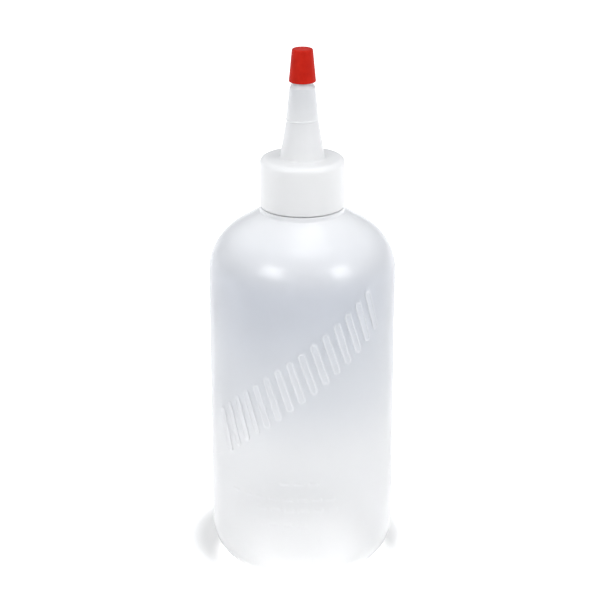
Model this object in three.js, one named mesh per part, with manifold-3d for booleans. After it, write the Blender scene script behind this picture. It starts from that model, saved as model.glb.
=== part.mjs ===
// A 240 ml squeeze bottle for glue: a blow-moulded bottle with a threaded neck, a one-piece screw cap that
// carries a tapered spout, a soft seal washer inside that cap, and a small tip that closes the spout.
// Units are millimetres and +Z is up. The origin is the centre of the base, on the surface it stands on.
// The bottle's decorated side faces -Y.
import * as THREE from "three";
import { mergeVertices } from "three/addons/utils/BufferGeometryUtils.js";
import Module from "manifold-3d";

const wasm = await Module();
wasm.setup();

// ---------------------------------------------------------------- driving dimensions
const SIDES = 48; // sides of every large round piece, and steps in a turn of thread
const TIP_SIDES = 32;
const SEAT_GAP = 0.15; // between faces that rest on each other
const SLIP_GAP = 0.3; // between the cap's skirt and the neck, and between thread flanks

// bottle body
const BODY_RADIUS = 30.15;
const WALL = 1.1;
const HEEL_RADIUS = 14.8;
const BODY_TOP = 102.5; // where the straight wall ends and the shoulder starts
const SHOULDER_RADIUS = 17.8;
const SHOULDER_SWEEP = THREE.MathUtils.degToRad(58);
const FOOT_INNER_RADIUS = 12.2; // the flat standing ring runs from here to the heel
const PUSH_UP = 2.2; // how far the middle of the base is pushed up
const PUSH_UP_RADIUS = 7;

// relief on the front: a band of slanted ribs that climbs to the right, and rows of short bars under it
const RIB_COUNT = 15;
const RIB_FIRST = { angle: -54, height: 54 }; // angles round the bottle in degrees, 0 at the front
const RIB_LAST = { angle: 46, height: 96.5 };
const RIB_LENGTH = 15;
const RIB_RADIUS = 1.4;
const RIB_SLANT = THREE.MathUtils.degToRad(-18); // they lean back, to the left
const BAR_ROWS = [
  { height: 40, angle: -11, count: 3 }, // the angle of the row's first bar
  { height: 34.2, angle: -45, count: 8 },
  { height: 30.4, angle: -26, count: 6 },
  { height: 25.2, angle: -27, count: 4 },
];
const BAR_STEP = 9; // degrees round the bottle between the bars of a row
const BAR_LENGTH = 3.4;
const BAR_RADIUS = 0.5;
const RELIEF_PROUD = 0.4;

// neck, a 24 mm finish with a thread of 8 turns to the inch
const NECK_TOP = 137.65;
const NECK_RADIUS = 10.85;
const BORE_RADIUS = 8.6;
const NECK_FILLET = 1.2; // inside, where the shoulder meets the bore
const COLLAR_RADIUS = 13.5; // a low collar round the foot of the neck, just under the cap's skirt
const COLLAR_GAP = 0.35;
const MOUTH_BEVEL = 0.35;
const PITCH = 25.4 / 8;
const THREAD_DEPTH = 1.0;
const THREAD_TURNS = 1.5;
const NECK_THREAD_TOP = NECK_TOP - 2.4; // centre of the upper end of the neck's thread

// cap
const CAP_RADIUS = 13.6;
const CAP_BOTTOM = 124.6;
const CAP_TOP = 140.3;
const CAP_EDGE = 2.0; // rounding between the skirt and the top
const CAP_INNER_RADIUS = NECK_RADIUS + THREAD_DEPTH + SLIP_GAP;
const DECK = 1.5;
const SKIRT_BEVEL = 0.4;
const CAP_THREAD_DROP = 1.35; // the cap's thread sits this far under the neck's
const CAP_THREAD_START = -600; // degrees, on the same helix as the neck's thread, whose top is at 0
const CAP_THREAD_END = -60;

// spout
const SPOUT_BASE_RADIUS = 7.15;
const SPOUT_FILLET = 0.8;
const BEAD_HEIGHT = 152.8; // a raised line round the spout, where its taper eases
const BEAD_RADIUS = 5.1;
const NOSE_SHOULDER = { height: 163.1, radius: 4.1 }; // the spout narrows here to its nose
const NOSE_BOTTOM = { height: 164.2, radius: 3.45 };
const SPOUT_TOP = 173.1;
const SPOUT_TIP_RADIUS = 2.5;
const BEAD_PROUD = 0.2;
const BEAD_HALF = 0.45;
const PASSAGE_RADIUS = 5.9; // the spout's hollow, where it meets the cap
const PASSAGE_BEND = { height: 152, radius: 3.8 }; // where its taper eases
const ORIFICE_RADIUS = 0.8;
const ORIFICE_LENGTH = 2.4;

// seal washer
const SEAL_RADIUS = 11.5;
const SEAL_HOLE = 5.9;

// closing tip
const TIP_BOTTOM = 164.9;
const TIP_TOP = 175.3;
const TIP_BOTTOM_RADIUS = 4.3;
const TIP_TOP_RADIUS = 3.3;
const TIP_EDGE = 0.55;
const TIP_GAP = 0.2; // round the spout
const TIP_CEILING = 173.7; // the underside of its closed end
const PIN_RADIUS = 0.5; // the pin that plugs the orifice
const PIN_BOTTOM = 172.1;

// ---------------------------------------------------------------- helpers
// Points of a profile are [radius, height].
function arc(centreRadius, centreHeight, radius, fromAngle, toAngle, steps) {
  return Array.from({ length: steps + 1 }, (_, i) => {
    const a = fromAngle + ((toAngle - fromAngle) * i) / steps;
    return [centreRadius + radius * Math.cos(a), centreHeight + radius * Math.sin(a)];
  });
}

// Turns a profile round the Z axis. It runs up the outside and down the inside.
function turned(profile, sides) {
  const points = profile.map(([r, z]) => new THREE.Vector2(r, z));
  return new THREE.LatheGeometry(points, sides).rotateX(Math.PI / 2);
}

function solidOf(geometry) {
  const bare = geometry.clone();
  bare.deleteAttribute("normal");
  bare.deleteAttribute("uv");
  const merged = mergeVertices(bare, 1e-4);
  return new wasm.Manifold(
    new wasm.Mesh({
      numProp: 3,
      vertProperties: merged.attributes.position.array,
      triVerts: new Uint32Array(merged.index.array),
    }),
  );
}

function geometryOf(solid) {
  const mesh = solid.getMesh();
  const geometry = new THREE.BufferGeometry();
  geometry.setAttribute("position", new THREE.BufferAttribute(new Float32Array(mesh.vertProperties), 3));
  geometry.setIndex(new THREE.BufferAttribute(new Uint32Array(mesh.triVerts), 1));
  geometry.computeVertexNormals();
  return geometry;
}

// A right-handed ridge of thread on a wall, fading into it at both ends. Angles are in degrees, and
// topHeight is the height of its centre at angle 0. It points out of the wall if outward is true.
function threadRidge({ wallRadius, outward, topHeight, fromAngle, toAngle, baseHalf, crestHalf }) {
  const side = outward ? 1 : -1;
  const buried = 0.4;
  const fade = 45; // degrees over which it rises out of the wall
  const steps = Math.round(((toAngle - fromAngle) * SIDES) / 360);
  const positions = [];
  for (let i = 0; i <= steps; i++) {
    const degrees = fromAngle + ((toAngle - fromAngle) * i) / steps;
    const fromEnd = Math.min(degrees - fromAngle, toAngle - degrees);
    const rise = THREE.MathUtils.smoothstep(fromEnd, 0, fade);
    const crest = THREE.MathUtils.lerp(-0.1, THREAD_DEPTH, rise);
    const z = topHeight + (PITCH * degrees) / 360;
    const angle = THREE.MathUtils.degToRad(degrees);
    const section = [
      [-buried, -baseHalf],
      [crest, -crestHalf],
      [crest, crestHalf],
      [-buried, baseHalf],
    ];
    for (const [out, up] of section) {
      const r = wallRadius + side * out;
      positions.push(r * Math.cos(angle), r * Math.sin(angle), z + up);
    }
  }
  const index = [0, 3, 2, 0, 2, 1];
  for (let i = 0; i < steps; i++) {
    for (let k = 0; k < 4; k++) {
      const a = 4 * i + k;
      const b = 4 * i + ((k + 1) % 4);
      index.push(a, b, b + 4, a, b + 4, a + 4);
    }
  }
  const last = 4 * steps;
  index.push(last, last + 1, last + 2, last, last + 2, last + 3);
  if (outward) {
    index.reverse();
  }
  const geometry = new THREE.BufferGeometry();
  geometry.setAttribute("position", new THREE.Float32BufferAttribute(positions, 3));
  geometry.setIndex(index);
  return geometry;
}

function named(name, geometry, material) {
  const mesh = new THREE.Mesh(geometry, material);
  mesh.name = name;
  return mesh;
}

// ---------------------------------------------------------------- bottle
// The wall's own profile from the standing ring up to the end of the shoulder's arc, moved in from the
// outside by inset.
function bodyWall(inset) {
  const radius = SHOULDER_RADIUS - inset;
  return [
    ...arc(BODY_RADIUS - HEEL_RADIUS, HEEL_RADIUS, HEEL_RADIUS - inset, -Math.PI / 2, 0, 7),
    ...arc(BODY_RADIUS - SHOULDER_RADIUS, BODY_TOP, radius, 0, SHOULDER_SWEEP, 9),
  ];
}

// The height that the straight slope above a shoulder has reached at a radius nearer the axis.
function slopeHeight([endRadius, endHeight], radius) {
  return endHeight + (endRadius - radius) / Math.tan(SHOULDER_SWEEP);
}

// A raised bar with round ends on the body's wall, leaning to the right by slant from upright.
function reliefBar({ angle, height, length, radius, slant }) {
  const half = length / 2 - radius;
  const profile = [
    ...arc(0, -half, radius, -Math.PI / 2, 0, 2),
    ...arc(0, half, radius, 0, Math.PI / 2, 2),
  ];
  return turned(profile, 8)
    .rotateY(slant)
    .translate(0, radius - RELIEF_PROUD - BODY_RADIUS, height)
    .rotateZ(THREE.MathUtils.degToRad(angle));
}

function reliefBars() {
  const ribs = Array.from({ length: RIB_COUNT }, (_, i) => {
    const share = i / (RIB_COUNT - 1);
    return reliefBar({
      angle: THREE.MathUtils.lerp(RIB_FIRST.angle, RIB_LAST.angle, share),
      height: THREE.MathUtils.lerp(RIB_FIRST.height, RIB_LAST.height, share),
      length: RIB_LENGTH,
      radius: RIB_RADIUS,
      slant: RIB_SLANT,
    });
  });
  const bars = BAR_ROWS.flatMap(({ height, angle, count }) =>
    Array.from({ length: count }, (_, i) =>
      reliefBar({
        angle: angle + i * BAR_STEP,
        height,
        length: BAR_LENGTH,
        radius: BAR_RADIUS,
        slant: Math.PI / 2,
      }),
    ),
  );
  return [...ribs, ...bars];
}

function bottleGeometry() {
  const base = [
    [0, PUSH_UP],
    [PUSH_UP_RADIUS, PUSH_UP],
    [0.5 * (PUSH_UP_RADIUS + FOOT_INNER_RADIUS), 0.55 * PUSH_UP],
    [FOOT_INNER_RADIUS, 0],
  ];
  const floor = [
    [FOOT_INNER_RADIUS, WALL],
    [0.5 * (PUSH_UP_RADIUS + FOOT_INNER_RADIUS), 0.55 * PUSH_UP + WALL],
    [PUSH_UP_RADIUS, PUSH_UP + WALL],
    [0, PUSH_UP + WALL],
  ];
  const outer = bodyWall(0);
  const inner = bodyWall(WALL);
  const collarTop = CAP_BOTTOM - COLLAR_GAP;
  const boreFoot = slopeHeight(inner.at(-1), BORE_RADIUS + NECK_FILLET);
  const neck = [
    [COLLAR_RADIUS, slopeHeight(outer.at(-1), COLLAR_RADIUS)],
    [COLLAR_RADIUS, collarTop - 0.3],
    [COLLAR_RADIUS - 0.3, collarTop],
    [NECK_RADIUS, collarTop],
    [NECK_RADIUS, NECK_TOP - MOUTH_BEVEL],
    [NECK_RADIUS - MOUTH_BEVEL, NECK_TOP],
    [BORE_RADIUS + MOUTH_BEVEL, NECK_TOP],
    [BORE_RADIUS, NECK_TOP - MOUTH_BEVEL],
    [BORE_RADIUS, boreFoot + 1.4 * NECK_FILLET],
    [BORE_RADIUS + 0.3, boreFoot + 0.6 * NECK_FILLET],
    [BORE_RADIUS + NECK_FILLET, boreFoot],
  ];
  const profile = [...base, ...outer, ...neck, ...inner.reverse(), ...floor];
  const thread = threadRidge({
    wallRadius: NECK_RADIUS,
    outward: true,
    topHeight: NECK_THREAD_TOP,
    fromAngle: -360 * THREAD_TURNS,
    toAngle: 0,
    baseHalf: 1.05,
    crestHalf: 0.4,
  });
  const raised = [thread, ...reliefBars()];
  const shell = solidOf(turned(profile, SIDES));
  return geometryOf(raised.reduce((solid, piece) => solid.add(solidOf(piece)), shell));
}

// ---------------------------------------------------------------- spout cap
// The nose is the stretch of the spout that the closing tip fits over.
function noseRadius(height) {
  const share = (height - NOSE_BOTTOM.height) / (SPOUT_TOP - NOSE_BOTTOM.height);
  return THREE.MathUtils.lerp(NOSE_BOTTOM.radius, SPOUT_TIP_RADIUS, share);
}

function spoutCapGeometry() {
  const skirt = [
    [CAP_INNER_RADIUS, CAP_BOTTOM],
    [CAP_RADIUS - SKIRT_BEVEL, CAP_BOTTOM],
    [CAP_RADIUS, CAP_BOTTOM + SKIRT_BEVEL],
    ...arc(CAP_RADIUS - CAP_EDGE, CAP_TOP - CAP_EDGE, CAP_EDGE, 0, Math.PI / 2, 5),
  ];
  const spout = [
    [SPOUT_BASE_RADIUS + SPOUT_FILLET, CAP_TOP],
    [SPOUT_BASE_RADIUS + 0.2 * SPOUT_FILLET, CAP_TOP + 0.3 * SPOUT_FILLET],
    [SPOUT_BASE_RADIUS - 0.2 * SPOUT_FILLET, CAP_TOP + SPOUT_FILLET],
    [BEAD_RADIUS + 0.05, BEAD_HEIGHT - BEAD_HALF],
    [BEAD_RADIUS + BEAD_PROUD, BEAD_HEIGHT],
    [BEAD_RADIUS - 0.05, BEAD_HEIGHT + BEAD_HALF],
    [NOSE_SHOULDER.radius, NOSE_SHOULDER.height],
    [NOSE_BOTTOM.radius, NOSE_BOTTOM.height],
    [noseRadius(SPOUT_TOP - 0.3), SPOUT_TOP - 0.3],
    [SPOUT_TIP_RADIUS - 0.3, SPOUT_TOP],
  ];
  const deckUnderside = CAP_TOP - DECK;
  const passage = [
    [ORIFICE_RADIUS, SPOUT_TOP],
    [ORIFICE_RADIUS, SPOUT_TOP - ORIFICE_LENGTH],
    [PASSAGE_BEND.radius, PASSAGE_BEND.height],
    [PASSAGE_RADIUS, deckUnderside],
    [CAP_INNER_RADIUS, deckUnderside],
    [CAP_INNER_RADIUS, CAP_BOTTOM],
  ];
  const thread = threadRidge({
    wallRadius: CAP_INNER_RADIUS,
    outward: false,
    topHeight: NECK_THREAD_TOP - CAP_THREAD_DROP,
    fromAngle: CAP_THREAD_START,
    toAngle: CAP_THREAD_END,
    baseHalf: 0.75,
    crestHalf: 0.25,
  });
  return geometryOf(solidOf(turned([...skirt, ...spout, ...passage], SIDES)).add(solidOf(thread)));
}

// ---------------------------------------------------------------- seal washer
function sealGeometry() {
  const bottom = NECK_TOP + SEAT_GAP;
  const top = CAP_TOP - DECK - SEAT_GAP;
  return turned(
    [
      [SEAL_HOLE, bottom],
      [SEAL_RADIUS, bottom],
      [SEAL_RADIUS, top],
      [SEAL_HOLE, top],
      [SEAL_HOLE, bottom],
    ],
    SIDES,
  );
}

// ---------------------------------------------------------------- closing tip
function tipGeometry() {
  const innerTop = SPOUT_TIP_RADIUS + TIP_GAP;
  const innerBottom = noseRadius(TIP_BOTTOM) + TIP_GAP;
  const pin = [
    [0, PIN_BOTTOM],
    [PIN_RADIUS - 0.15, PIN_BOTTOM],
    [PIN_RADIUS, PIN_BOTTOM + 0.3],
    [PIN_RADIUS, TIP_CEILING],
  ];
  const hollow = [
    [innerTop, TIP_CEILING],
    [innerTop, SPOUT_TOP],
    [innerBottom, TIP_BOTTOM],
  ];
  const outside = [
    [TIP_BOTTOM_RADIUS - 0.2, TIP_BOTTOM],
    [TIP_BOTTOM_RADIUS, TIP_BOTTOM + 0.3],
    ...arc(TIP_TOP_RADIUS - TIP_EDGE, TIP_TOP - TIP_EDGE, TIP_EDGE, 0.1, Math.PI / 2, 4),
    [0, TIP_TOP],
  ];
  return turned([...pin, ...hollow, ...outside], TIP_SIDES);
}

// ---------------------------------------------------------------- materials
const naturalPlastic = new THREE.MeshStandardMaterial({
  color: new THREE.Color(0.87, 0.89, 0.93),
  roughness: 0.35,
  metalness: 0,
  transparent: true,
  opacity: 0.55,
});
const capPlastic = new THREE.MeshStandardMaterial({
  color: new THREE.Color(0.92, 0.93, 0.94),
  roughness: 0.4,
  metalness: 0,
  transparent: true,
  opacity: 0.75,
});
const sealFoam = new THREE.MeshStandardMaterial({
  color: new THREE.Color(0.94, 0.94, 0.93),
  roughness: 0.85,
  metalness: 0,
});
const redPlastic = new THREE.MeshStandardMaterial({
  color: new THREE.Color(0.75, 0.05, 0.03),
  roughness: 0.35,
  metalness: 0,
});

// ---------------------------------------------------------------- assembly
const applicatorBottle = new THREE.Group();
applicatorBottle.add(
  named("bottle", bottleGeometry(), naturalPlastic),
  named("cap_seal_washer", sealGeometry(), sealFoam),
  named("spout_cap", spoutCapGeometry(), capPlastic),
  named("closing_tip", tipGeometry(), redPlastic),
);

export default applicatorBottle;
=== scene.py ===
"""The looks of a milky squeeze bottle with a threaded spout cap and a red closing tip.

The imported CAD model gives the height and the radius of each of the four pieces. Each is built again here as a
fine revolved mesh with rounded edges, thread ridges and raised relief, and gets its own procedural plastic.
Profiles are in millimetres as [radius, height], and meshes are in metres.
"""

import math

import bpy
import numpy as np
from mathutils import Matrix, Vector


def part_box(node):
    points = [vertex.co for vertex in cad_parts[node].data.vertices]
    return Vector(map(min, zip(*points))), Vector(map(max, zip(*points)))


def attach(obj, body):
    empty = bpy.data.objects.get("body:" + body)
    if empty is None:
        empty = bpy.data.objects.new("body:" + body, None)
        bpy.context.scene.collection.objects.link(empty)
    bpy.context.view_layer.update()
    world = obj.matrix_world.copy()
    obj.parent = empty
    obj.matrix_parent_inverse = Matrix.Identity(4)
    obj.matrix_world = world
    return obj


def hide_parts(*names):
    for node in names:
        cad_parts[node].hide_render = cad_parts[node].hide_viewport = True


MM = 0.001

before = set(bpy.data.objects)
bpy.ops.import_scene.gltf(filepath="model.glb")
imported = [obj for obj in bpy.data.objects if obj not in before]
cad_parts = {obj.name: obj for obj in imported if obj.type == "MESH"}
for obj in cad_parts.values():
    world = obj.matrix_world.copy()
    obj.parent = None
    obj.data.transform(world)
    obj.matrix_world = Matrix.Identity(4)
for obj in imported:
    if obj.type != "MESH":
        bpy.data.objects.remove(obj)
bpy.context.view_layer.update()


# ---------------------------------------------------------------- driving dimensions, in millimetres
def top_of(node):
    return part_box(node)[1].z / MM


def bottom_of(node):
    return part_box(node)[0].z / MM


def radius_of(node):
    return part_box(node)[1].x / MM


# bottle body
BODY_RADIUS = radius_of("bottle")
NECK_TOP = top_of("bottle")
WALL = 1.1
HEEL_RADIUS = 14.8
BODY_TOP = 102.5
SHOULDER_RADIUS = 17.8
SHOULDER_SWEEP = math.radians(58)
FOOT_INNER_RADIUS = 12.2
PUSH_UP = 2.2
PUSH_UP_RADIUS = 7
PUSH_UP_BEND = 0.55  # the share of the push-up's height that its slope has reached half way

# neck and thread
NECK_RADIUS = 10.85
BORE_RADIUS = 8.6
COLLAR_RADIUS = 13.5
COLLAR_GAP = 0.35
PITCH = 25.4 / 8
THREAD_DEPTH = 1.0
THREAD_FADE = 45  # degrees over which a ridge rises out of its wall
# A thread ridge runs from one angle to another along its helix, in degrees. Half its width is given at its
# base and at its crest.
NECK_THREAD = {"top": NECK_TOP - 2.4, "start": -540, "end": 0, "base_half": 1.05, "crest_half": 0.4}

# cap
SEAT_GAP = 0.15
SLIP_GAP = 0.3
CAP_RADIUS = radius_of("spout_cap")
CAP_BOTTOM = bottom_of("spout_cap")
DECK = 1.5
CAP_TOP = top_of("cap_seal_washer") + SEAT_GAP + DECK
CAP_EDGE = 2.0
CAP_INNER_RADIUS = NECK_RADIUS + THREAD_DEPTH + SLIP_GAP
CAP_THREAD_DROP = 1.35
CAP_THREAD = {
    "top": NECK_THREAD["top"] - CAP_THREAD_DROP,
    "start": -600,
    "end": -60,
    "base_half": 0.75,
    "crest_half": 0.25,
}

# spout
SPOUT_BASE_RADIUS = 7.15
SPOUT_FILLET = 0.8
BEAD_HEIGHT = 152.8  # a raised line round the spout, where its taper eases
BEAD_RADIUS = 5.1
BEAD_PROUD = 0.2
BEAD_HALF = 0.45
NOSE_SHOULDER = (4.1, 163.1)  # radius and height
NOSE_BOTTOM = (3.45, 164.2)
SPOUT_TIP_RADIUS = 2.5
SPOUT_TOP = top_of("spout_cap")
PASSAGE_RADIUS = 5.9  # the spout's hollow, where it meets the cap
PASSAGE_BEND = (3.8, 152)
ORIFICE_RADIUS = 0.8
ORIFICE_LENGTH = 2.4

# seal washer
SEAL_RADIUS = radius_of("cap_seal_washer")
SEAL_HOLE = 5.9

# closing tip
TIP_BOTTOM = bottom_of("closing_tip")
TIP_TOP = top_of("closing_tip")
TIP_BOTTOM_RADIUS = radius_of("closing_tip")
TIP_TOP_RADIUS = 3.3
TIP_EDGE = 0.55
TIP_GAP = 0.2
TIP_CEILING = SPOUT_TOP + 0.6
PIN_RADIUS = 0.5
PIN_BOTTOM = SPOUT_TOP - 1.0

# relief on the front of the body
RIB_COUNT = 15
RIB_FIRST = (-54, 54)  # angle round the bottle in degrees, 0 at the front, and height
RIB_LAST = (46, 96.5)
RIB_LENGTH = 15
RIB_RADIUS = 0.95  # to the middle of the ridge that runs round each rib
RIB_EDGE = 0.4
RIB_MIDDLE = 0.35  # how high the middle of a rib is, as a share of its ridge
RIB_SLANT = math.radians(-18)
BAR_ROWS = ((40, -11, 3), (34.2, -45, 8), (30.4, -26, 6), (25.2, -27, 4))  # height, first angle, count
BAR_STEP = 9
BAR_LENGTH = 3.4
BAR_RADIUS = 0.5
BAR_PROUD = 0.17
BAR_CROWN = 1.3  # above 1, a bar has a flatter top and steeper sides
RELIEF_PROUD = 0.4
SEAM_DEPTH = 0.06  # the mould's parting line, on both sides of the bottle
SEAM_HALF = 0.35

# rows and columns of the round meshes. The rows are no further apart than these steps.
WALL_ROW_STEP = 0.45
NECK_ROW_STEP = 0.25
CAP_ROW_STEP = 0.35
WASHER_ROW_STEP = 0.5
TIP_ROW_STEP = 0.4
SAME = 0.01  # two sizes that are closer than this are taken as the same
DECORATED_SIDE = (-63, 55)  # degrees round the bottle, where its columns are close together
DECORATED_COLUMNS = 430
PLAIN_COLUMNS = 84
SEAM_STEPS = (-0.7, -0.35, 0, 0.35, 0.7)  # degrees from the middle of a seam
CAP_COLUMNS = 160
SMALL_COLUMNS = 96


# ---------------------------------------------------------------- profiles
def arc(centre_radius, centre_height, radius, start, end, steps):
    """Points on a round corner or a shoulder, from one angle to another, in degrees."""
    angles = np.radians(np.linspace(start, end, steps + 1))
    return [
        (centre_radius + radius * math.cos(a), centre_height + radius * math.sin(a)) for a in angles
    ]


def rounded(corners, steps=5):
    """A polyline of (radius, height, fillet) corners, each with a fillet above 0 turned into an arc."""
    points = []
    for i, (r, z, fillet) in enumerate(corners):
        here = Vector((r, z))
        if not fillet or i in (0, len(corners) - 1):
            points.append((r, z))
            continue
        before = Vector(corners[i - 1][:2]) - here
        after = Vector(corners[i + 1][:2]) - here
        half = before.angle(after) / 2
        reach = fillet / math.tan(half)
        reach = min(reach, 0.49 * before.length, 0.49 * after.length)
        start = here + before.normalized() * reach
        end = here + after.normalized() * reach
        for k in range(steps + 1):
            t = k / steps
            point = (1 - t) ** 2 * start + 2 * t * (1 - t) * here + t**2 * end
            points.append((point.x, point.y))
    return points


def finer(points, step, low=-1e9, high=1e9):
    """The same polyline, with stretches between two heights split into spans no longer than step."""
    result = [points[0]]
    for (r0, z0), (r1, z1) in zip(points, points[1:]):
        inside = low <= min(z0, z1) and max(z0, z1) <= high
        length = math.hypot(r1 - r0, z1 - z0)
        parts = max(1, math.ceil(length / step)) if inside else 1
        result += [
            (r0 + (r1 - r0) * k / parts, z0 + (z1 - z0) * k / parts) for k in range(1, parts + 1)
        ]
    return result


# ---------------------------------------------------------------- revolved meshes
def even_columns(count):
    return np.linspace(-math.pi, math.pi, count, endpoint=False)


def bottle_columns():
    """Angles round the bottle, from the front: close together over the decorated side and at the seams."""
    low, high = np.radians(DECORATED_SIDE)
    front = np.linspace(low, high, DECORATED_COLUMNS, endpoint=False)
    back = np.linspace(high, 2 * math.pi + low, PLAIN_COLUMNS, endpoint=False)
    seams = [math.radians(side + step) for side in (90, 270) for step in SEAM_STEPS]
    return np.sort(np.concatenate([front, back, seams]))


def revolved(name, profile, columns, proud=None, closed=False):
    """Turns a profile round the Z axis. A profile that isn't closed starts and ends on the axis.

    proud(angles, heights, row_numbers) returns how far each point stands out from the axis, in mm.
    """
    radii = np.array([p[0] for p in profile], float)
    heights = np.array([p[1] for p in profile], float)
    body = slice(None) if closed else slice(1, -1)
    rows = np.arange(len(profile))[body]
    angle_grid, radius_grid = np.meshgrid(columns, radii[body])
    height_grid = np.repeat(heights[body][:, None], len(columns), axis=1)
    if proud is not None:
        radius_grid = radius_grid + proud(angle_grid, height_grid, rows[:, None])
    points = np.stack(
        [radius_grid * np.sin(angle_grid), -radius_grid * np.cos(angle_grid), height_grid], axis=-1
    )
    points = points.reshape(-1, 3) * MM
    count = len(columns)
    faces = grid_faces(len(rows), count, closed)
    if not closed:
        first, last = len(points), len(points) + 1
        poles = [(0, 0, heights[0] * MM), (0, 0, heights[-1] * MM)]
        points = np.concatenate([points, poles])
        top_row = (len(rows) - 1) * count
        faces += [(first, (k + 1) % count, k) for k in range(count)]
        faces += [(last, top_row + k, top_row + (k + 1) % count) for k in range(count)]
    mesh = bpy.data.meshes.new(name)
    mesh.from_pydata(points.tolist(), [], faces)
    mesh.shade_smooth()
    piece = bpy.data.objects.new(name, mesh)
    bpy.context.scene.collection.objects.link(piece)
    return piece


def wrapped(angles):
    """The same angles, between -pi and pi."""
    return (angles + math.pi) % (2 * math.pi) - math.pi


def grid_faces(row_count, column_count, closed):
    spans = row_count if closed else row_count - 1
    faces = []
    for i in range(spans):
        low = i * column_count
        high = ((i + 1) % row_count) * column_count
        for k in range(column_count):
            after = (k + 1) % column_count
            faces.append((low + k, low + after, high + after, high + k))
    return faces


def smooth(share):
    share = np.clip(share, 0, 1)
    return share * share * (3 - 2 * share)


def thread_height(angles, heights, top, start, end, base_half, crest_half):
    """How far a right-hand thread ridge stands off its wall. start and end are degrees along its helix."""
    out = np.zeros_like(heights)
    degrees = np.degrees(angles) - 90  # the helix counts from +X
    for turn in range(math.floor(start / 360) - 1, math.ceil(end / 360) + 2):
        along = degrees + 360 * turn
        from_end = np.minimum(along - start, end - along)
        rise = smooth(from_end / THREAD_FADE)
        off = np.abs(heights - (top + PITCH * along / 360))
        flank = smooth((base_half - off) / (base_half - crest_half))
        out = np.maximum(out, np.where(from_end > 0, THREAD_DEPTH * rise * flank, 0))
    return out


# ---------------------------------------------------------------- bottle
def body_wall(inset, heel_steps, shoulder_steps):
    """The wall's profile from the standing ring to the end of the shoulder, moved in by inset."""
    heel_centre = BODY_RADIUS - HEEL_RADIUS
    shoulder_centre = BODY_RADIUS - SHOULDER_RADIUS
    sweep = math.degrees(SHOULDER_SWEEP)
    heel = arc(heel_centre, HEEL_RADIUS, HEEL_RADIUS - inset, -90, 0, heel_steps)
    shoulder = arc(shoulder_centre, BODY_TOP, SHOULDER_RADIUS - inset, 0, sweep, shoulder_steps)
    return heel + shoulder


def slope_height(shoulder_end, radius):
    """The height that the straight slope above a shoulder has reached at a radius nearer the axis."""
    end_radius, end_height = shoulder_end
    return end_height + (end_radius - radius) / math.tan(SHOULDER_SWEEP)


def bottle_profile():
    """The closed outline of the bottle's section, from the axis under the base to the axis inside it."""
    middle = 0.5 * (PUSH_UP_RADIUS + FOOT_INNER_RADIUS)
    outer = body_wall(inset=0, heel_steps=36, shoulder_steps=26)
    inner = body_wall(inset=WALL, heel_steps=12, shoulder_steps=10)
    base = rounded(
        [
            (0, PUSH_UP, 0),
            (PUSH_UP_RADIUS, PUSH_UP, 3),
            (middle, PUSH_UP_BEND * PUSH_UP, 2),
            (FOOT_INNER_RADIUS, 0, 1.2),
            (*outer[0], 0),
        ]
    )
    floor = rounded(
        [
            (*inner[0], 0),
            (FOOT_INNER_RADIUS, WALL, 1.2),
            (middle, PUSH_UP_BEND * PUSH_UP + WALL, 2),
            (PUSH_UP_RADIUS, PUSH_UP + WALL, 3),
            (0, PUSH_UP + WALL, 0),
        ]
    )
    collar_top = CAP_BOTTOM - COLLAR_GAP
    neck = rounded(
        [
            (*outer[-1], 0),
            (COLLAR_RADIUS, slope_height(outer[-1], COLLAR_RADIUS), 0.6),
            (COLLAR_RADIUS, collar_top, 0.3),
            (NECK_RADIUS, collar_top, 0.4),
            (NECK_RADIUS, NECK_TOP, 0.4),
            (BORE_RADIUS, NECK_TOP, 0.4),
            (BORE_RADIUS, slope_height(inner[-1], BORE_RADIUS), 2.0),
            (*inner[-1], 0),
        ]
    )
    wall = finer(outer[1:-1], WALL_ROW_STEP, low=HEEL_RADIUS - SAME, high=BODY_TOP + SAME)
    return base + wall + finer(neck, NECK_ROW_STEP, low=collar_top) + inner[::-1][1:-1] + floor


def bar_distance(angles, heights, angle, height, length, slant):
    """How far each point of the wall is from the middle line of a slanting bar, on the wall unrolled."""
    across = (angles - math.radians(angle)) * BODY_RADIUS
    up = heights - height
    along = np.clip(across * math.sin(slant) + up * math.cos(slant), -length / 2, length / 2)
    return np.hypot(across - along * math.sin(slant), up - along * math.cos(slant))


def rib_height(distance):
    """A rib is a long loop: a rounded ridge that runs round a slightly lower middle."""
    ridge = smooth(1 - np.abs(distance - RIB_RADIUS) / RIB_EDGE)
    middle = RIB_MIDDLE * smooth((RIB_RADIUS - distance) / RIB_EDGE)
    return RELIEF_PROUD * np.maximum(ridge, middle)


def relief_height(angles, heights):
    out = np.zeros_like(heights)
    for i in range(RIB_COUNT):
        share = i / (RIB_COUNT - 1)
        angle = RIB_FIRST[0] + (RIB_LAST[0] - RIB_FIRST[0]) * share
        height = RIB_FIRST[1] + (RIB_LAST[1] - RIB_FIRST[1]) * share
        straight = RIB_LENGTH - 2 * (RIB_RADIUS + RIB_EDGE)
        distance = bar_distance(angles, heights, angle, height, straight, RIB_SLANT)
        out = np.maximum(out, rib_height(distance))
    for height, first_angle, count in BAR_ROWS:
        for i in range(count):
            angle = first_angle + i * BAR_STEP
            straight = BAR_LENGTH - 2 * BAR_RADIUS
            distance = bar_distance(angles, heights, angle, height, straight, math.pi / 2)
            crown = smooth(BAR_CROWN * (1 - distance / BAR_RADIUS))
            out = np.maximum(out, BAR_PROUD * crown)
    return out


def seam_depth(angles):
    """The parting line is a shallow witness groove down both sides."""
    off = np.minimum(np.abs(angles - math.pi / 2), np.abs(angles + math.pi / 2)) * BODY_RADIUS
    return SEAM_DEPTH * smooth(1 - off / SEAM_HALF)


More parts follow.
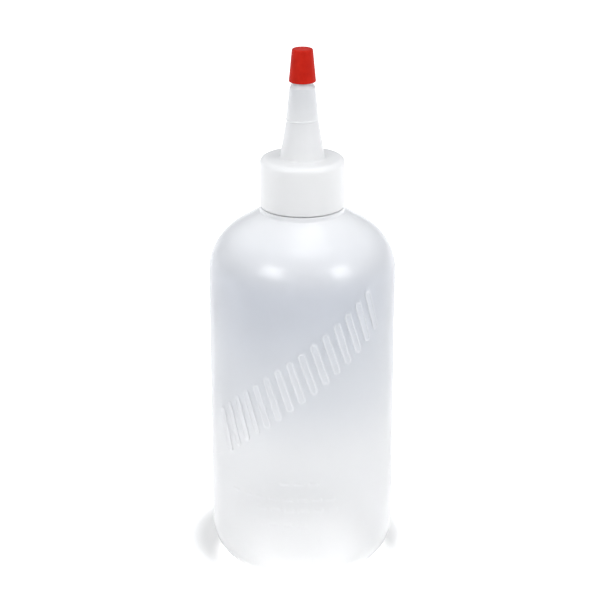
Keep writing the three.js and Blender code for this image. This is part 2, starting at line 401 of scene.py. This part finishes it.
def make_bottle():
    profile = bottle_profile()
    radii = np.array([p[0] for p in profile])
    turn_row = int(np.argmax([p[1] for p in profile]))

    def proud(angles, heights, rows):
        angles = wrapped(angles)
        outside = rows < turn_row
        on_neck = outside & (np.abs(radii[rows] - NECK_RADIUS) < SAME)
        on_wall = outside & (radii[rows] > SHOULDER_RADIUS)
        thread = thread_height(angles, heights, **NECK_THREAD)
        relief = relief_height(angles, heights) - seam_depth(angles)
        return np.where(on_wall, relief, 0) + np.where(on_neck, thread, 0)

    piece = revolved("bottle_shell", profile, bottle_columns(), proud)
    mark_relief(piece.data)
    return piece


def mark_relief(mesh):
    """Stores how proud each point of the wall stands, from 0 to 1, for the material's painted highlight on the
    relief.
    """
    points = np.array([vertex.co for vertex in mesh.vertices]) / MM
    angles = np.arctan2(points[:, 0], -points[:, 1])
    on_wall = np.hypot(points[:, 0], points[:, 1]) > BODY_RADIUS - 0.5 * WALL
    marks = np.where(on_wall, relief_height(angles, points[:, 2]) / RELIEF_PROUD, 0)
    layer = mesh.attributes.new("relief", "FLOAT", "POINT")
    layer.data.foreach_set("value", marks.astype(np.float32))


# ---------------------------------------------------------------- spout cap
def make_spout_cap():
    deck_under = CAP_TOP - DECK
    outline = [
        (CAP_INNER_RADIUS, CAP_BOTTOM, 0),
        (CAP_RADIUS, CAP_BOTTOM, 0.4),
        (CAP_RADIUS, CAP_TOP, CAP_EDGE),
        (SPOUT_BASE_RADIUS, CAP_TOP, SPOUT_FILLET),
        (BEAD_RADIUS, BEAD_HEIGHT - BEAD_HALF, 0.2),
        (BEAD_RADIUS + BEAD_PROUD, BEAD_HEIGHT, 0.2),
        (BEAD_RADIUS, BEAD_HEIGHT + BEAD_HALF, 0.2),
        (*NOSE_SHOULDER, 0.4),
        (*NOSE_BOTTOM, 0.3),
        (SPOUT_TIP_RADIUS, SPOUT_TOP, 0.3),
        (ORIFICE_RADIUS, SPOUT_TOP, 0.15),
        (ORIFICE_RADIUS, SPOUT_TOP - ORIFICE_LENGTH, 0.3),
        (*PASSAGE_BEND, 2),
        (PASSAGE_RADIUS, deck_under, 0.4),
        (CAP_INNER_RADIUS, deck_under, 0.4),
        (CAP_INNER_RADIUS, CAP_BOTTOM, 0),
    ]
    profile = finer(rounded(outline, steps=7), CAP_ROW_STEP)[:-1]
    inner_wall = np.array([abs(r - CAP_INNER_RADIUS) < SAME for r, _ in profile])

    def proud(angles, heights, rows):
        thread = thread_height(wrapped(angles), heights, **CAP_THREAD)
        return -np.where(inner_wall[rows], thread, 0)

    return revolved("spout_cap_shell", profile, even_columns(CAP_COLUMNS), proud, closed=True)


# ---------------------------------------------------------------- seal washer
def make_washer():
    low, high = bottom_of("cap_seal_washer"), top_of("cap_seal_washer")
    outline = [
        (SEAL_HOLE, low, 0),
        (SEAL_RADIUS, low, 0.15),
        (SEAL_RADIUS, high, 0.15),
        (SEAL_HOLE, high, 0.15),
        (SEAL_HOLE, low, 0),
    ]
    profile = finer(rounded(outline), WASHER_ROW_STEP)[:-1]
    return revolved("seal_washer", profile, even_columns(SMALL_COLUMNS), closed=True)


# ---------------------------------------------------------------- closing tip
def make_tip():
    nose_radius, nose_height = NOSE_BOTTOM
    share = (TIP_BOTTOM - nose_height) / (SPOUT_TOP - nose_height)
    mouth_radius = nose_radius + (SPOUT_TIP_RADIUS - nose_radius) * share + TIP_GAP
    ceiling_radius = SPOUT_TIP_RADIUS + TIP_GAP
    outline = [
        (0, PIN_BOTTOM, 0),
        (PIN_RADIUS, PIN_BOTTOM, 0.2),
        (PIN_RADIUS, TIP_CEILING, 0.2),
        (ceiling_radius, TIP_CEILING, 0.3),
        (ceiling_radius, SPOUT_TOP, 0.3),
        (mouth_radius, TIP_BOTTOM, 0.15),
        (TIP_BOTTOM_RADIUS, TIP_BOTTOM, 0.25),
        (TIP_TOP_RADIUS, TIP_TOP, TIP_EDGE),
        (0, TIP_TOP, 0),
    ]
    profile = finer(rounded(outline), TIP_ROW_STEP)
    return revolved("red_tip", profile, even_columns(SMALL_COLUMNS))


# ---------------------------------------------------------------- materials
def new_material(name, **settings):
    material = bpy.data.materials.new(name)
    material.use_nodes = True
    shader = material.node_tree.nodes["Principled BSDF"]
    for socket, value in settings.items():
        shader.inputs[socket.replace("_", " ")].default_value = value
    return material, shader


def noise_between(material, scale, low, high, detail=3.0):
    """A noise in object space, as a colour between two colours."""
    nodes, links = material.node_tree.nodes, material.node_tree.links
    place = nodes.new("ShaderNodeTexCoord")
    noise = nodes.new("ShaderNodeTexNoise")
    noise.inputs["Scale"].default_value = scale
    noise.inputs["Detail"].default_value = detail
    ramp = nodes.new("ShaderNodeValToRGB")
    ramp.color_ramp.elements[0].position = 0.3
    ramp.color_ramp.elements[0].color = (*low, 1)
    ramp.color_ramp.elements[1].position = 0.7
    ramp.color_ramp.elements[1].color = (*high, 1)
    links.new(place.outputs["Object"], noise.inputs["Vector"])
    links.new(noise.outputs["Fac"], ramp.inputs["Fac"])
    return ramp.outputs["Color"]


def surface_bump(material, shader, scale, distance):
    """A fine unevenness that softens the gloss. distance is its height, in metres."""
    nodes, links = material.node_tree.nodes, material.node_tree.links
    place = nodes.new("ShaderNodeTexCoord")
    noise = nodes.new("ShaderNodeTexNoise")
    noise.inputs["Scale"].default_value = scale
    noise.inputs["Detail"].default_value = 4
    bump = nodes.new("ShaderNodeBump")
    bump.inputs["Strength"].default_value = 1
    bump.inputs["Distance"].default_value = distance
    links.new(place.outputs["Object"], noise.inputs["Vector"])
    links.new(noise.outputs["Fac"], bump.inputs["Height"])
    links.new(bump.outputs["Normal"], shader.inputs["Normal"])


def coordinate(material, axis):
    """One coordinate of each point of a surface, in metres."""
    nodes, links = material.node_tree.nodes, material.node_tree.links
    place = nodes.new("ShaderNodeTexCoord")
    parts = nodes.new("ShaderNodeSeparateXYZ")
    links.new(place.outputs["Object"], parts.inputs["Vector"])
    return parts.outputs[axis]


def colour_by_height(material, stops, top):
    """A colour that changes up the object, from (height in mm, colour) stops between 0 and top."""
    nodes, links = material.node_tree.nodes, material.node_tree.links
    share = nodes.new("ShaderNodeMapRange")
    share.inputs["From Max"].default_value = top * MM
    ramp = nodes.new("ShaderNodeValToRGB")
    ramp.color_ramp.interpolation = "EASE"
    for _ in stops[2:]:
        ramp.color_ramp.elements.new(0.5)
    for element, (height, colour) in zip(ramp.color_ramp.elements, stops):
        element.position = height / top
        element.color = (*colour, 1)
    links.new(coordinate(material, "Z"), share.inputs["Value"])
    links.new(share.outputs["Result"], ramp.inputs["Fac"])
    return ramp.outputs["Color"]


def milky_plastic(name, stops, top, **settings):
    """Natural polyethylene. Its tint by height is tuned for the look, and isn't measured from plastic. On the
    bottle the tint is painted light and shade.
    """
    material, shader = new_material(name, **settings)
    nodes, links = material.node_tree.nodes, material.node_tree.links
    clouds = nodes.new("ShaderNodeMixRGB")
    clouds.blend_type = "MULTIPLY"
    clouds.inputs["Fac"].default_value = 1
    links.new(colour_by_height(material, stops, top), clouds.inputs["Color1"])
    links.new(noise_between(material, 35, low=(0.97,) * 3, high=(1.0,) * 3), clouds.inputs["Color2"])
    links.new(clouds.outputs["Color"], shader.inputs["Base Color"])
    rough = noise_between(material, 60, (0.30,) * 3, (0.38,) * 3)
    links.new(rough, shader.inputs["Roughness"])
    surface_bump(material, shader, scale=90, distance=0.00006)
    return material


# The plastic gets less clear over this span of height, in metres, from the body to the neck. The raised
# relief is less clear than the wall round it, and whiter: a painted highlight that makes it stand out light.
# Both are tuned for the look.
NECK_MILK_SPAN = (0.098, 0.117)
BODY_CLEARNESS = 0.75
NECK_CLEARNESS = 0.2
RIB_HIGHLIGHT_AND_MILK = 0.55
RIB_HIGHLIGHT_WHITE = (0.97, 0.97, 0.98, 1)


def bottle_plastic():
    # Painted light and shade: the tint is whiter towards the base, greyer and bluer over the upper body and the
    # shoulder, and lighter again at the neck under the cap. A real bottle of this kind is nearly one colour.
    stops = (
        (0, (0.97, 0.97, 0.97)),
        (22, (0.97, 0.97, 0.975)),
        (45, (0.915, 0.918, 0.925)),
        (72, (0.79, 0.805, 0.835)),
        (102, (0.755, 0.775, 0.82)),
        (113, (0.77, 0.78, 0.805)),
        (124, (0.88, 0.885, 0.90)),
    )
    material = milky_plastic(
        "milky_bottle",
        stops,
        top=140,
        IOR=1.51,
        Specular_IOR_Level=0.35,
        Coat_Weight=0.35,
        Coat_Roughness=0.07,
        Subsurface_Weight=0.35,
        Subsurface_Scale=0.003,
        Subsurface_Radius=(1, 1, 1),
    )
    height = coordinate(material, "Z")
    clearness = smooth_ramp(material, height, NECK_MILK_SPAN, BODY_CLEARNESS, NECK_CLEARNESS)
    # painted highlight on the raised relief
    paint_relief_highlight(material, clearness)
    return material


def paint_relief_highlight(material, clearness):
    """Paints a highlight on the raised ribs and bars: they are whiter and less clear than the wall, by the
    marks on the mesh.
    """
    nodes, links = material.node_tree.nodes, material.node_tree.links
    shader = nodes["Principled BSDF"]
    relief = nodes.new("ShaderNodeAttribute")
    relief.attribute_name = "relief"
    highlight_share = smooth_ramp(material, relief.outputs["Fac"], (0, 1), 0, RIB_HIGHLIGHT_AND_MILK)
    clear = smooth_ramp(material, relief.outputs["Fac"], (0, 1), 1, 1 - RIB_HIGHLIGHT_AND_MILK)
    whiter = nodes.new("ShaderNodeMixRGB")
    whiter.inputs["Color2"].default_value = RIB_HIGHLIGHT_WHITE
    links.new(highlight_share, whiter.inputs["Fac"])
    links.new(shader.inputs["Base Color"].links[0].from_socket, whiter.inputs["Color1"])
    links.new(whiter.outputs["Color"], shader.inputs["Base Color"])
    links.new(product(material, clearness, clear), shader.inputs["Transmission Weight"])


def cap_plastic():
    stops = (
        (0, (0.915, 0.915, 0.91)),
        (140, (0.915, 0.915, 0.915)),
        (145, (0.875, 0.875, 0.88)),
        (166, (0.73, 0.74, 0.755)),
        (180, (0.73, 0.74, 0.755)),
    )
    return milky_plastic(
        "milky_cap",
        stops,
        top=180,
        Transmission_Weight=0.25,
        IOR=1.51,
        Specular_IOR_Level=0.3,
        Coat_Weight=0.15,
        Coat_Roughness=0.15,
        Subsurface_Weight=0.5,
        Subsurface_Scale=0.002,
        Subsurface_Radius=(1, 1, 1),
    )


def red_plastic():
    material, shader = new_material("red_plastic", Specular_IOR_Level=0.06)
    links = material.node_tree.links
    colour = noise_between(material, 300, (0.40, 0.011, 0.005), (0.50, 0.017, 0.008))
    links.new(colour, shader.inputs["Base Color"])
    links.new(noise_between(material, 700, (0.42,) * 3, (0.5,) * 3), shader.inputs["Roughness"])
    surface_bump(material, shader, scale=900, distance=0.00002)
    return material


def washer_foam():
    material, shader = new_material("washer_foam", IOR=1.45)
    links = material.node_tree.links
    colour = noise_between(material, 1500, (0.80, 0.80, 0.78), (0.90, 0.90, 0.88))
    links.new(colour, shader.inputs["Base Color"])
    links.new(noise_between(material, 1500, (0.75,) * 3, (0.9,) * 3), shader.inputs["Roughness"])
    surface_bump(material, shader, scale=2500, distance=0.00004)
    return material


def table_paint():
    """White paper on a pale grey table, with a painted pool of light under the bottle and a painted shade round
    its foot.
    """
    material, shader = new_material("white_table", Roughness=0.9)
    nodes, links = material.node_tree.nodes, material.node_tree.links
    colour = nodes.new("ShaderNodeCombineColor")
    paper = smooth_ramp(material, coordinate(material, "Y"), PAPER_SPAN, TABLE_WHITE, PAPER_WHITE)
    shade = smooth_ramp(material, distance_from(material, SHADE_CENTRE), SHADE_SPAN, SHADE_WHITE, 1)
    white = product(material, paper, shade)
    for channel in ("Red", "Green", "Blue"):
        links.new(white, colour.inputs[channel])
    links.new(colour.outputs["Color"], shader.inputs["Base Color"])
    links.new(colour.outputs["Color"], shader.inputs["Emission Color"])
    # painted pool of light: the floor glows brightly in a spot under the bottle
    glow = smooth_ramp(material, distance_from(material, (0, 0, 0)), SPOT_SPAN, SPOT_GLOW, PAPER_GLOW)
    links.new(glow, shader.inputs["Emission Strength"])
    return material


def product(material, first, second):
    node = material.node_tree.nodes.new("ShaderNodeMath")
    node.operation = "MULTIPLY"
    material.node_tree.links.new(first, node.inputs[0])
    material.node_tree.links.new(second, node.inputs[1])
    return node.outputs["Value"]


def distance_from(material, point):
    """How far each point of a surface is from one point, in metres."""
    nodes, links = material.node_tree.nodes, material.node_tree.links
    place = nodes.new("ShaderNodeTexCoord")
    distance = nodes.new("ShaderNodeVectorMath")
    distance.operation = "DISTANCE"
    distance.inputs[1].default_value = point
    links.new(place.outputs["Object"], distance.inputs[0])
    return distance.outputs["Value"]


def smooth_ramp(owner, value, span, low, high):
    """A number that goes smoothly from low to high over a span of the value."""
    ramp = owner.node_tree.nodes.new("ShaderNodeMapRange")
    ramp.interpolation_type = "SMOOTHSTEP"
    for socket, number in zip(("From Min", "From Max", "To Min", "To Max"), (*span, low, high)):
        ramp.inputs[socket].default_value = number
    owner.node_tree.links.new(value, ramp.inputs["Value"])
    return ramp.outputs["Result"]


# ---------------------------------------------------------------- camera, floor and lights
# The camera's distance in front of the axis, above the floor and to the right, in millimetres.
CAMERA_BACK = 595.1
CAMERA_UP = 315.8
CAMERA_SIDE = -0.75
CAMERA_PITCH = math.radians(20.62)  # how far down it looks
CAMERA_LENS = 117.2
SENSOR_WIDTH = 36

# Softboxes stand 1 m from the shoulder, each in its own direction from it.
SHOULDER_POINT = (0, 0, 0.11)
SOFTBOXES = (
    # name, direction, width and height in metres, power
    ("window_left", (-0.564, -0.611, 0.555), 0.48, 0.38, 3.7),
    ("window_right", (0.699, -0.514, 0.497), 0.42, 0.38, 3.9),
    ("overhead", (0.10, -0.05, 0.99), 0.6, 0.5, 2.0),
    ("rim_left", (-0.60, 0.53, 0.60), 0.9, 0.6, 0.8),
    ("rim_right", (0.60, 0.53, 0.60), 0.9, 0.6, 0.3),
)

# The room is a light tent: dim walls, and a bright ceiling above this span of a direction's Z.
CEILING_SPAN = (0.4, 0.6)
WALL_GLOW = 0.53
CEILING_GLOW = 0.72
ROOM_COLOUR = (0.93, 0.96, 1.0, 1)

# White paper starts at this span of Y on a pale grey table, in metres. It glows all over, and glows brightly in
# a spot under the bottle, a painted pool of light. The shade round the foot is painted on it, as a disc a
# little behind the foot. The spot and the shade fade out over these spans of radius, in metres.
PAPER_SPAN = (-0.15, -0.04)
TABLE_WHITE = 0.4
PAPER_WHITE = 0.9
SPOT_SPAN = (0.022, 0.032)
SPOT_GLOW = 3.0
SHADE_CENTRE = (-0.002, 0.014, 0)
SHADE_SPAN = (0.031, 0.044)
SHADE_WHITE = 0.5
PAPER_GLOW = 0.75


def add_camera():
    camera = bpy.data.cameras.new("camera")
    camera.lens = CAMERA_LENS
    camera.sensor_width = SENSOR_WIDTH
    holder = bpy.data.objects.new("camera", camera)
    holder.location = Vector((CAMERA_SIDE, -CAMERA_BACK, CAMERA_UP)) * MM
    holder.rotation_euler = (math.pi / 2 - CAMERA_PITCH, 0, 0)
    bpy.context.scene.collection.objects.link(holder)
    bpy.context.scene.camera = holder


def add_floor():
    bpy.ops.mesh.primitive_plane_add(size=8)
    floor = bpy.context.object
    floor.name = "floor"
    floor.data.materials.append(table_paint())


def add_softbox(name, place, target, width, height, power):
    light = bpy.data.lights.new(name, "AREA")
    light.shape = "RECTANGLE"
    light.size = width
    light.size_y = height
    light.energy = power
    holder = bpy.data.objects.new(name, light)
    holder.location = place
    holder.rotation_euler = (Vector(target) - Vector(place)).to_track_quat("-Z", "Y").to_euler()
    holder.visible_camera = False
    bpy.context.scene.collection.objects.link(holder)


def add_light_tent():
    world = bpy.data.worlds.new("light_tent")
    bpy.context.scene.world = world
    world.use_nodes = True
    nodes, links = world.node_tree.nodes, world.node_tree.links
    background = nodes["Background"]
    background.inputs["Color"].default_value = ROOM_COLOUR
    direction = nodes.new("ShaderNodeTexCoord")
    parts = nodes.new("ShaderNodeSeparateXYZ")
    links.new(direction.outputs["Generated"], parts.inputs["Vector"])
    glow = smooth_ramp(world, parts.outputs["Z"], CEILING_SPAN, WALL_GLOW, CEILING_GLOW)
    links.new(glow, background.inputs["Strength"])


def add_lights():
    for name, direction, width, height, power in SOFTBOXES:
        place = Vector(SHOULDER_POINT) + Vector(direction).normalized()
        add_softbox(name, place, SHOULDER_POINT, width, height, power)
    add_light_tent()


# ---------------------------------------------------------------- assembly
def add_piece(piece, node, body, material):
    piece.data.materials.append(material)
    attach(piece, body)
    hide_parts(node)


add_camera()
add_floor()
add_lights()
add_piece(make_bottle(), "bottle", "bottle_body", bottle_plastic())
add_piece(make_washer(), "cap_seal_washer", "washer_body", washer_foam())
add_piece(make_spout_cap(), "spout_cap", "cap_body", cap_plastic())
add_piece(make_tip(), "closing_tip", "tip_body", red_plastic())
bpy.context.scene.view_settings.view_transform = "Standard"
